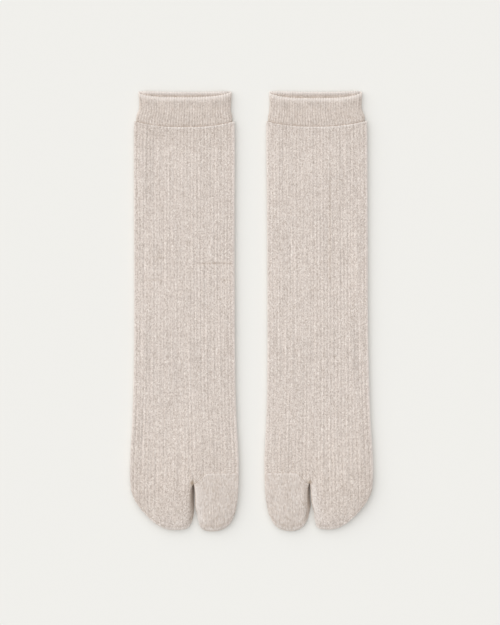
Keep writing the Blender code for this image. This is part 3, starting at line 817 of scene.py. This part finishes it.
def splitStrip(form, part, half, sheet, layers, bow, isInner):
    # the side of a toe towards the other one, from its upper layer round to its lower one
    top, low = (layer[0][sheet.toCrotch :, -1] for layer in layers)
    yarn = layers[0][1][sheet.toCrotch :, -1:]
    y = top[:, 1]
    outermost = np.maximum(along(sheet.split, y, 1), half * top[:, 0])
    if not isInner:
        outermost = outermost + pressedOut(form, half, y)
    shape = form.sideShape[half]
    mid = form.levels(part, y, 0.0)[0] * folds[shape]["mid"]
    mid = np.clip(mid, low[:, 2] + folds["leastMid"] * (top[:, 2] - low[:, 2]), top[:, 2])
    turn = topAngle(form, y)
    bowed = bow * np.exp(-np.clip(y[0] - y, 0.0, None) / folds["webLength"])
    # painted shade on the toe's side down in the slit
    shaded = tableAt(paler["inSlit"], y[0] - y)
    columns, paleness = [top], [0.0 * y]
    for share in folds["webAngles"]:
        angle = share * turn
        edge = top if share >= 0.0 else low
        inward = (1 - np.cos(angle)) / (1 - np.cos(turn))
        rise = abs(np.sin(angle)) / np.sin(turn)
        if shape == "upright" and share >= 0.0:
            inward, rise = 0.0 * y + share ** folds["splitHollow"], share
        a = outermost - (outermost - half * edge[:, 0]) * inward
        z = mid + (edge[:, 2] - mid) * rise
        columns.append(np.stack([half * a, y - bowed * np.cos(angle), z], 1))
        paleness.append(shaded * (1 - paler["inSlitTop"] * max(share, 0.0)))
    columns.append(low)
    paleness.append(shaded)
    across = half * np.linspace(0.0, folds["webRibs"], len(columns))
    rows = np.repeat(yarn[..., 1], len(columns), 1)
    return np.stack(columns, 1), np.stack([yarn[..., 0] + across, rows], 2), np.stack(paleness, 1)


def legSheet(form, half, isUpper, inset):
    # one half of the leg and foot: the small toes' half goes on into their pocket
    crotch = form.crotch[1] + (legAndFoot["hollowRise"] if inset else 0.0)
    edge, seam, split = outlineParts(form, half, legAndFoot["seamEnds"], inset)
    hasToes = half == smallHalf
    sideTops = {side: form.bow("legTop", side * form.edgeA(side, math.inf)) for side in (smallHalf, bigHalf)}
    sideTop = sum(sideTops.values()) / 2
    rowPitch = legAndFoot["stitch"] / 2
    toCrotch, toEnd = round((sideTop - crotch) / rowPitch), round((crotch - split[0, 1]) / rowPitch)
    if inset:
        toCrotch, toEnd = legAndFoot["hollowRows"]
    if not hasToes:
        toEnd = 0
    rows = np.arange(toCrotch + toEnd + 1)
    nominal = np.interp(rows, [0, toCrotch, toCrotch + max(toEnd, 1)], [sideTop, crotch, split[0, 1]])
    topFade = np.clip(1 - rows / toCrotch / legAndFoot["dipShare"], 0, 1) ** legAndFoot["dipPower"]
    archStart = legAndFoot["archStart"][half]
    endFade = np.clip((rows / rows[-1] - archStart) / (1 - archStart), 0, 1) ** 2
    innerY = nominal - (sideTop - form.bow("legTop", half * form.divideA(half, sideTop))) * topFade
    outerEnd = seam[0, 1] if hasToes else form.footEnd[-1, 1]
    outerY = nominal + (sideTops[half] - sideTop) * topFade + (outerEnd - nominal[-1]) * endFade

    def innerLine(y):
        onLeg = form.divideA(half, np.maximum(y, form.crotch[1]))
        if not hasToes:
            return onLeg
        inPocket = slitLine(form, half, split, crotch, y, isUpper, inset)
        if inset:
            reached = ease((form.crotch[1] - y) / folds["hollowBlend"])
            inPocket = onLeg + (inPocket - onLeg) * reached
        return np.where(y < crotch, inPocket, onLeg)

    def endLine(a):
        if hasToes:
            return along(seam, a, 0)
        parted = np.clip(1 - (half * a - form.crotch[0]) / folds["hollowBlend"], 0, 1)
        return along(form.footEnd, half * a, 0) + (crotch - form.crotch[1]) * parted

    return Sheet((outerY, lambda y: form.edgeA(half, y) + inset), (innerY, innerLine),
                 (lambda a: form.bow("legTop", half * a), topFade), (endLine, endFade),
                 np.concatenate([edge, seam[1:]]), split if hasToes else None, toCrotch)


def toeSheet(form, half, isUpper, inset):
    edge, seam, split = outlineParts(form, half, bigToe["seamEnds"], inset)
    outerTop, innerTop = form.toeTop[-1, 1], form.crotch[1]
    count = bigToe["hollowRows"] if inset else 2 * round((outerTop - seam[0, 1]) / bigToe["stitch"])
    share = np.linspace(0.0, 1.0, count + 1)
    outerY = outerTop + (seam[0, 1] - outerTop) * share
    innerY = innerTop + (split[0, 1] - innerTop) * share

    def topLine(a):
        tuck, length = bigToe["topTuck"]
        return along(form.toeTop, half * a, 0) + tuck * ease((half * a - form.crotch[0]) / length)

    return Sheet((outerY, lambda y: form.edgeA(half, y) + inset),
                 (innerY, lambda y: slitLine(form, half, split, innerTop, y, isUpper, inset)),
                 (topLine, (1 - share) ** 2), (lambda a: along(seam, a, 0), share ** 2),
                 np.concatenate([edge, seam[1:]]), split)


def makeTube(form, part, style, makeSheet, material):
    # a tube of cloth with its outer and its inner layer, knitted half by half
    mesh = bmesh.new()
    for inset in (0.0, style["wall"]):  # how far in from the outer layer
        for half, ribs in style["ribs"].items():
            layers = []
            for isUpper in (True, False):
                sheet = makeSheet(form, half, isUpper, inset)
                places = columnPlaces(ribs, isUpper)
                layers.append(knittedLayer(form, part, style, sheet, half, places, isUpper, inset))
                addSheet(mesh, form, *layers[-1])
            if sheet.isClosed:
                bow = style["webBow"] * (folds["webInside"] if inset else 1.0)
                addSheet(mesh, form, *splitStrip(form, part, half, sheet, layers, bow, inset > 0.0))
    closeCloth(mesh, style["openings"])
    return finishPiece(mesh, form, part, material)


# The cuff: a welt of finer rib, turned over at its rim

cuff = {
    "wall": 2.1,
    "rimWall": 1.2,  # the cloth at the rim
    "thinWall": (0.8, 0.5),  # and inside it: how thick, and from how far down
    "ribs": 36,
    "stitches": 19,
    "ribHeight": 0.75,
    "stitchRise": 0.1,
    "uneven": (0.5, 0.04),  # how far single stitches swell and stand out differently
    "pressed": 0.6,  # the underside's share of relief
    "foldReach": 1.9,
    "leastReach": 0.6,
    "pillow": (0.24, 12),
    "heightShare": 0.3,
    "rimSteps": 6,
    # the rim's back and front: how high the middle is, the rise to the sides, how late
    # that comes, and how far the middle lies to one side
    "backBow": {"left": (186.7, 1.1, 2, 2.5), "right": (186.75, 1.1, 2, 0)},
    "frontBow": {"left": (182.1, 3.9, 3, -1.8), "right": (181.4, 4.7, 3.4, 1.8)},
    # the back's rim stands up: how much, and how much less from where, over how far
    "backLip": (2.6, 0.36, 1.4, 1.6),
    "backLipEnd": (5, 8, 6),  # it ends from here, over this far, and this far from a side
    "rimRoll": (1.3, 3.6),  # the front turns down this much, over this far, to its rim
    "innerSteps": (15, 0.3, 0.12),  # the rows inside the rim: how many, the first one, its growth
    "plainRows": 6,
    "plainTop": 0.5,  # how far up the plain wall inside begins
    "endSteps": 3,
    "endTuck": 0.35,  # the end meets the leg's first course
    "trough": (8.5, 4.5, 0.6),  # a soft hollow below the rim: its place, width and depth
    "seamDip": (1, 0.04),  # and a narrow one above the seam: its width and depth
    # how much narrower than its solid it is, going down from the rim
    "waist": {
        "left": {smallHalf: ((0, 0), (7, 0.9), (15, 1.2), (20, 0.5), (24.5, -0.3)),
                 bigHalf: ((0, 0), (9, 0.3), (17, 0.9), (21, 0.5), (24.5, 0.1))},
        "right": {smallHalf: ((0, 0.4), (8, 0.9), (16, 1.4), (21, 0.8), (24.5, 0.2)),
                  bigHalf: ((0, 0), (10, 0.2), (20, 0), (24.5, -0.2))},
    },
    # painted highlight along the rim's roll: the rim's row, how many rows are paler, and how much, in front
    # and at the back
    "rimPaleness": {True: (40, 5, 0.6), False: (42.5, 5, 0.7)},
    # painted shade inside the cuff's mouth
    "inside": (47, 3, 0.18),  # the rows past the rim are browner: from, over, how much
    # the seam's shadow across the sock, how much browner, and its row and how wide it is
    "seamShade": {"left": ((-46, 0), (-22, 0.05), (-14, 0.2), (16, 0.2), (24, 0.1), (46, 0.05)),
                  "right": ((-44, 0), (-30, 0.02), (10, 0.05), (20, 0.2), (46, 0.2))},
    "seamShadeRow": (2.4, 1.4),
    "shadeRibs": 0.6,  # the ribs' crests lose this share of it
    "reliefRows": (4, 2),  # the relief ends and begins over these rows
    "sideFade": 0.8,  # and over this many ribs at each side
    "underYarn": 50,  # the underside's yarn starts this many ribs further on
}


def cuffProfile():
    # the way round the cuff's wall, from its seam up, over the rim and down inside: for each
    # row its share of the height, the distance past that, its inset and its count of rows
    rows = 2 * cuff["stitches"]
    radius = cuff["rimWall"] / 2
    thinWall, thinFrom = cuff["thinWall"]
    profile = [(row / rows, 0.0, 0.0) for row in range(rows + 1)]
    for step in range(1, cuff["rimSteps"]):
        turn = math.pi * step / cuff["rimSteps"]
        profile.append((1.0, radius * math.sin(turn), radius * (1 - math.cos(turn))))
    count, first, growth = cuff["innerSteps"]
    for step in range(count):
        below = first * step * (1 + growth * step)
        profile.append((1.0, -below, thinWall + (cuff["rimWall"] - thinWall) * hump(below, 0.0, thinFrom)))
    for row in range(cuff["plainRows"] + 1):
        down = row / cuff["plainRows"]
        inset = thinWall + (cuff["wall"] - thinWall) * down ** 2
        profile.append((cuff["plainTop"] * (1 - down), 0.0, inset))
    for step in range(1, cuff["endSteps"] + 1):
        profile.append((0.0, 0.0, cuff["wall"] * (1 - step / cuff["endSteps"])))
    profile = np.array(profile)
    return np.concatenate([profile, np.arange(len(profile))[:, None]], 1)


def rimBow(form, x, bow):
    height, rise, power, shift = bow
    return height + rise * np.abs((x - form.cuffMiddle - shift) / reading["bowWidth"]) ** power


def cuffLayer(form, isUpper):
    # a side of the cuff, from its seam over the rim and down inside
    share, past, inset, row = (column[:, None] for column in cuffProfile().T)
    folded = {cuff["ribs"] - fold for fold in stitchShape["foldColumns"]}
    places = np.array(sorted(set(columnPlaces(cuff["ribs"])) | folded))
    radius = cuff["rimWall"] / 2
    rim = form.bow("rimBack", 0.0) - radius
    end = form.bow("cuffEnd", 0.0) - cuff["endTuck"]
    level = end + (rim - end) * share
    waist = cuff["waist"][form.name]
    low, high = (half * (along(form.cuffEdge[half], level, 1) + tableAt(waist[half], rim - level))
                 for half in (smallHalf, bigHalf))
    x = low + inset + (high - low - 2 * inset) * places / cuff["ribs"]
    base = along(form.crest["cuff"], level, 0) - cuff["ribHeight"]
    gap = np.minimum(x - low, high - x) - inset
    reach = cuff["foldReach"] if isUpper else folds["under"]
    rounding = quarterRound(gap, np.maximum(reach - inset, cuff["leastReach"]))
    mid = base * cuff["heightShare"]
    height = (base - mid) * pillowed(gap + inset, *cuff["pillow"]) - inset if isUpper else inset - mid
    z = mid + height * rounding
    # the front of the rim hangs lower than its back
    back, front = (rimBow(form, x, cuff[name][form.name]) for name in ("backBow", "frontBow"))
    risen = (z + inset * rounding - mid) / (base - mid) if isUpper else 0.0 * z
    rimY = back + (front - back) * np.clip(risen, 0, 1) - radius
    endY = form.bow("cuffEnd", x) - cuff["endTuck"]
    y = endY + (rimY - endY) * share + past
    fromRim = np.clip(rimY + radius - y, 0.0, None)
    if isUpper:
        place, width, depth = cuff["trough"]
        z -= depth * rounding * hump(fromRim, place, width)
        drop, length = cuff["rimRoll"]
        z -= drop * rounding * (1 - quarterRound(fromRim, length))
        width, depth = cuff["seamDip"]
        z -= depth * rounding * hump(y, endY, width)
    else:
        lift, fall, start, length = cuff["backLip"]
        lift = lift * (1 - fall * ease((fromRim - start) / length))
        start, length, reach = cuff["backLipEnd"]
        z += lift * (1 - ease((fromRim - start) / length)) * ease(gap / reach)
    points = np.stack([x, y, z], 2)
    rows = row + 0.0 * x
    relief = cuffRelief(form, places, rows, inset, isUpper)
    points = points + outwardWays(points, isUpper) * relief[..., None]
    points[-1] = points[0]
    knitted = np.stack([places + 0.0 * rows + (0.0 if isUpper else cuff["underYarn"]), rows / 2], 2)
    return points, knitted, cuffPaleness(form, x, places, rows, isUpper)


def cuffRelief(form, places, rows, inset, isUpper):
    # how far the points stand out of the plain cloth
    ending, beginning = cuff["reliefRows"]
    plainStart = len(rows) - cuff["plainRows"]
    fade = ease((plainStart - ending - rows) / ending) * ease(rows / beginning)
    rib = np.minimum(np.floor(places), cuff["ribs"] - 1).astype(int)
    tone = form.tone[(rows / 2).astype(int), rib[None, :]]
    swelling, standing = cuff["uneven"]
    swell = shapeAt("swell", places) * np.cos(math.pi * rows) * (1 + swelling * tone)
    lift = shapeAt("lift", places)
    ribHeight, stitchRise = cuff["ribHeight"], cuff["stitchRise"]
    if isUpper:
        relief = (lift * (ribHeight + standing * tone) + swell * stitchRise) * fade
    else:
        relief = ((lift - 1.0) * ribHeight + (swell - 1.0) * stitchRise) * cuff["pressed"] * fade
        inside = (lift * ribHeight + swell * stitchRise) * fade
        relief = np.where(inset > cuff["rimWall"] / 2, inside, relief)
    return relief * ease(np.minimum(places, cuff["ribs"] - places) / cuff["sideFade"])


def cuffPaleness(form, x, places, rows, isUpper):
    # painted highlight along the rim, painted shade inside it, and the seam's painted shadow
    place, width, strength = cuff["rimPaleness"][isUpper]
    start, length, amount = cuff["inside"]
    paleness = strength * hump(rows, place, width) - amount * ease((rows - start) / length)
    if isUpper:
        shade = tableAt(cuff["seamShade"][form.name], x) * hump(rows, *cuff["seamShadeRow"])
        paleness -= shade * (1 - cuff["shadeRibs"] * shapeAt("lift", places))
    return paleness


def makeCuff(form, material):
    mesh = bmesh.new()
    for isUpper in (True, False):
        addSheet(mesh, form, *cuffLayer(form, isUpper))
    return finishPiece(mesh, form, "cuff", material)


# The yarn: spun wool and cotton, heathered, so that cream and brown fibres lie side by side.
# Its legs are 0.6 mm wide, and 0.8 mm in the plain knit, coarser than the real ones, so that
# they show. The other sizes are real ones: loose fibres under 1 mm, thick and thin lengths
# of some mm in the yarn.

ribYarn = {
    "legsAcross": 4.6,  # legs of yarn to a rib
    "legsAlong": 2,  # and to a stitch
    "swaySize": 3.125,  # mm; the legs' ends are uneven by this many legs:
    "sway": 2.5,
    "startSpread": 9,
    "yarn": ((0, "b8aba0"), (0.12, "c4b8af"), (0.35, "d1c6be"), (0.7, "dacfc7"), (0.88, "e2d8d0"),
             (1, "ebe3dc")),
    # the colours that paleness mixes towards, for painted light and painted shade and for the yarn's own
    # marks
    "pale": "f2ebe6",
    "brown": "85683f",
    "blotch": (6.25, 0.02),  # the size in mm, and how much lighter and darker
    "fibre": (0.8, 0.06),
    # some wales and some courses are tighter: how often, across and along, and how much darker
    "wales": ((2.6, 0.02, 0), 0.1),
    "rows": ((0.04, 1.1, 0), 0.026),
    "rough": (0.82, 1),
    "bump": {"Distance": 0.0004, "Strength": 0.5},
    # a nap of fine hairs gives the soft pale sheen, and nothing on it is glossy
    "shader": {"Specular IOR Level": 0.15, "Sheen Weight": 0.8, "Sheen Roughness": 0.5},
    "sheen": "e9dccf",
}
cuffYarn = dict(
    ribYarn, legsAcross=4, legsAlong=1.2, blotch=(6.25, 0.03), wales=((1.1, 0.1, 0), 0.07),
    yarn=((0, "bfb2a8"), (0.12, "c7bab0"), (0.35, "d1c5bc"), (0.7, "d7ccc3"), (0.88, "dcd1c9"),
          (1, "e4dad3")),
)
plainYarn = dict(
    ribYarn, legsAcross=2, legsAlong=1.2, wales=((1.2, 0.1, 0), 0.06), rows=((0.12, 1, 0), 0.045),
    yarn=((0, "c2b5ab"), (0.12, "c9bdb3"), (0.35, "d0c5bd"), (0.7, "d6cbc3"), (0.88, "dbd1c9"),
          (1, "e2dad3")),
)


def linear(hexColour):
    # an sRGB hex colour as linear values
    parts = [int(hexColour[index : index + 2], 16) / 255.0 for index in (0, 2, 4)]
    values = [part / 12.92 if part <= 0.04045 else ((part + 0.055) / 1.055) ** 2.4 for part in parts]
    return (*values, 1.0)


def newMaterial(name):
    material = bpy.data.materials.new(name)
    material.use_nodes = True
    return material, material.node_tree, material.node_tree.nodes["Principled BSDF"]


def addNode(tree, kind, inputs, output=0, **settings):
    # adds a node and gives an output of it; an input is a value or the socket that feeds it
    node = tree.nodes.new("ShaderNode" + kind)
    for name, value in settings.items():
        setattr(node, name, value)
    for socket, value in inputs.items():
        if isinstance(value, bpy.types.NodeSocket):
            tree.links.new(value, node.inputs[socket])
        else:
            node.inputs[socket].default_value = value
    return node.outputs[output]


def softTone(tree, place, scale, strength):
    # soft noise about 1, this far up and down
    noise = addNode(tree, "TexNoise", {"Vector": place, "Scale": scale, "Detail": 2.0}, "Fac")
    limits = {"From Min": 0.3, "From Max": 0.7, "To Min": 1 - strength, "To Max": 1 + strength}
    return addNode(tree, "MapRange", {"Value": noise, **limits})


def yarnTones(tree, place, knit, style):
    # a tone from 0 to 1 for each leg of yarn, whose lengths are uneven
    parts = addNode(tree, "SeparateXYZ", {"Vector": knit}).node.outputs
    column = addNode(tree, "Math", {0: parts[0], 1: style["legsAcross"]}, operation="MULTIPLY")
    column = addNode(tree, "Math", {0: column}, operation="FLOOR")
    start = addNode(tree, "TexWhiteNoise", {"W": column}, "Value", noise_dimensions="1D")
    start = addNode(tree, "Math", {0: start, 1: style["startSpread"]}, operation="MULTIPLY")
    run = addNode(tree, "Math", {0: parts[1], 1: style["legsAlong"], 2: start}, operation="MULTIPLY_ADD")
    scale = 1.0 / (style["swaySize"] * mm)
    sway = addNode(tree, "TexNoise", {"Vector": place, "Scale": scale}, "Fac")
    row = addNode(tree, "Math", {0: sway, 1: style["sway"], 2: run}, operation="MULTIPLY_ADD")
    row = addNode(tree, "Math", {0: row}, operation="FLOOR")
    cell = addNode(tree, "CombineXYZ", {"X": column, "Y": row})
    return addNode(tree, "TexWhiteNoise", {"Vector": cell}, "Value", noise_dimensions="2D")


def fillRamp(ramp, stops):
    while len(ramp.elements) < len(stops):
        ramp.elements.new(0.5)
    for element, (place, _) in zip(ramp.elements, stops):
        element.position = place
    for element, (_, colour) in zip(ramp.elements, stops):
        element.color = linear(colour)


def knitMaterial(name, style):
    # soft, matt spun yarn: each leg of a stitch shows the tone that its yarn has there
    material, tree, shader = newMaterial(name)
    place = addNode(tree, "TexCoord", {}, "Object")
    knit = addNode(tree, "UVMap", {}, uv_map="knit")
    legTone = yarnTones(tree, place, knit, style)
    yarn = addNode(tree, "ValToRGB", {"Fac": legTone}, "Color")
    fillRamp(yarn.node.color_ramp, style["yarn"])
    tones = []
    for size, strength in (style["blotch"], style["fibre"]):
        tones.append(softTone(tree, place, 1.0 / (size * mm), strength))
    for size, strength in (style["wales"], style["rows"]):
        stretched = addNode(tree, "VectorMath", {0: knit, 1: size}, operation="MULTIPLY")
        tones.append(softTone(tree, stretched, 1.0, strength))
    colour = yarn
    for tone in tones:
        colour = addNode(tree, "VectorMath", {0: colour, "Scale": tone}, operation="SCALE")
    # the paleness attribute mixes in painted light and painted shade, and the yarn's own paler and browner
    # marks
    pale = addNode(tree, "Attribute", {}, "Fac", attribute_name="paleness")
    for sign, shade in ((1.0, "pale"), (-1.0, "brown")):
        amount = addNode(tree, "Math", {0: pale, 1: sign}, operation="MULTIPLY", use_clamp=True)
        mixed = {0: amount, 6: colour, 7: linear(style[shade])}
        colour = addNode(tree, "Mix", mixed, 2, data_type="RGBA")
    low, high = style["rough"]
    rough = addNode(tree, "MapRange", {"Value": legTone, "To Min": low, "To Max": high})
    bump = addNode(tree, "Bump", {"Height": tones[1], **style["bump"]})
    for socket, value in (("Base Color", colour), ("Roughness", rough), ("Normal", bump)):
        tree.links.new(value, shader.inputs[socket])
    for socket, value in style["shader"].items():
        shader.inputs[socket].default_value = value
    shader.inputs["Sheen Tint"].default_value = linear(style["sheen"])
    return material


studio = {
    "floorSize": 8,
    "floorLevel": -0.0002,  # the lowest stitches touch it
    "floorColour": "eae9e5",
    "cameraHeight": 1.8,
    "cameraCentre": (-0.0017, -0.0011),
    "view": 0.5344,  # what the camera takes in from top to bottom
    "sensor": 36,
    "world": 0.52,
    "lamp": 2.1,
    "lampAngle": 100,  # degrees: a wide softbox, up and to the left
    "lampPlace": (-0.6, 0.6, 1.2),
}


def makeFloor():
    # matt paper: an even pale ground with no gloss
    material, _, shader = newMaterial("matt_paper")
    shader.inputs["Base Color"].default_value = linear(studio["floorColour"])
    shader.inputs["Roughness"].default_value = 1.0
    shader.inputs["Specular IOR Level"].default_value = 0.0
    flat = bmesh.new()
    bmesh.ops.create_grid(flat, x_segments=1, y_segments=1, size=studio["floorSize"])
    data = bpy.data.meshes.new("floor")
    flat.to_mesh(data)
    flat.free()
    data.materials.append(material)
    floor = addObject("floor", data)
    floor.location.z = studio["floorLevel"]


def makeCamera():
    data = bpy.data.cameras.new("camera")
    data.sensor_width = studio["sensor"]
    data.lens = studio["sensor"] * studio["cameraHeight"] / studio["view"]
    eye = addObject("camera", data)
    eye.location = (*studio["cameraCentre"], studio["cameraHeight"])
    bpy.context.scene.camera = eye


def makeLight():
    scene = bpy.context.scene
    scene.view_settings.view_transform = "Standard"
    world = bpy.data.worlds.new("studio")
    world.use_nodes = True
    background = world.node_tree.nodes["Background"]
    background.inputs["Color"].default_value = (1.0, 1.0, 1.0, 1.0)
    background.inputs["Strength"].default_value = studio["world"]
    scene.world = world
    data = bpy.data.lights.new("softbox", "SUN")
    data.energy = studio["lamp"]
    data.angle = math.radians(studio["lampAngle"])
    lamp = addObject("softbox", data)
    lamp.rotation_euler = Vector(studio["lampPlace"]).to_track_quat("Z", "Y").to_euler()


print("reading the solids")
forms = [SockForm("left", side=1.0, seed=11), SockForm("right", side=-1.0, seed=23)]
print("placing the camera, the light and the floor")
makeCamera()
makeLight()
makeFloor()
print("spinning the yarns")
cuffMaterial = knitMaterial("heathered_fine_rib_knit", cuffYarn)
ribMaterial = knitMaterial("heathered_rib_knit", ribYarn)
plainMaterial = knitMaterial("heathered_plain_knit", plainYarn)
for form in forms:
    print("knitting the " + form.name + " sock")
    cuffPiece = makeCuff(form, cuffMaterial)
    legPiece = makeTube(form, "leg_and_foot", legAndFoot, legSheet, ribMaterial)
    toePiece = makeTube(form, "big_toe", bigToe, toeSheet, plainMaterial)
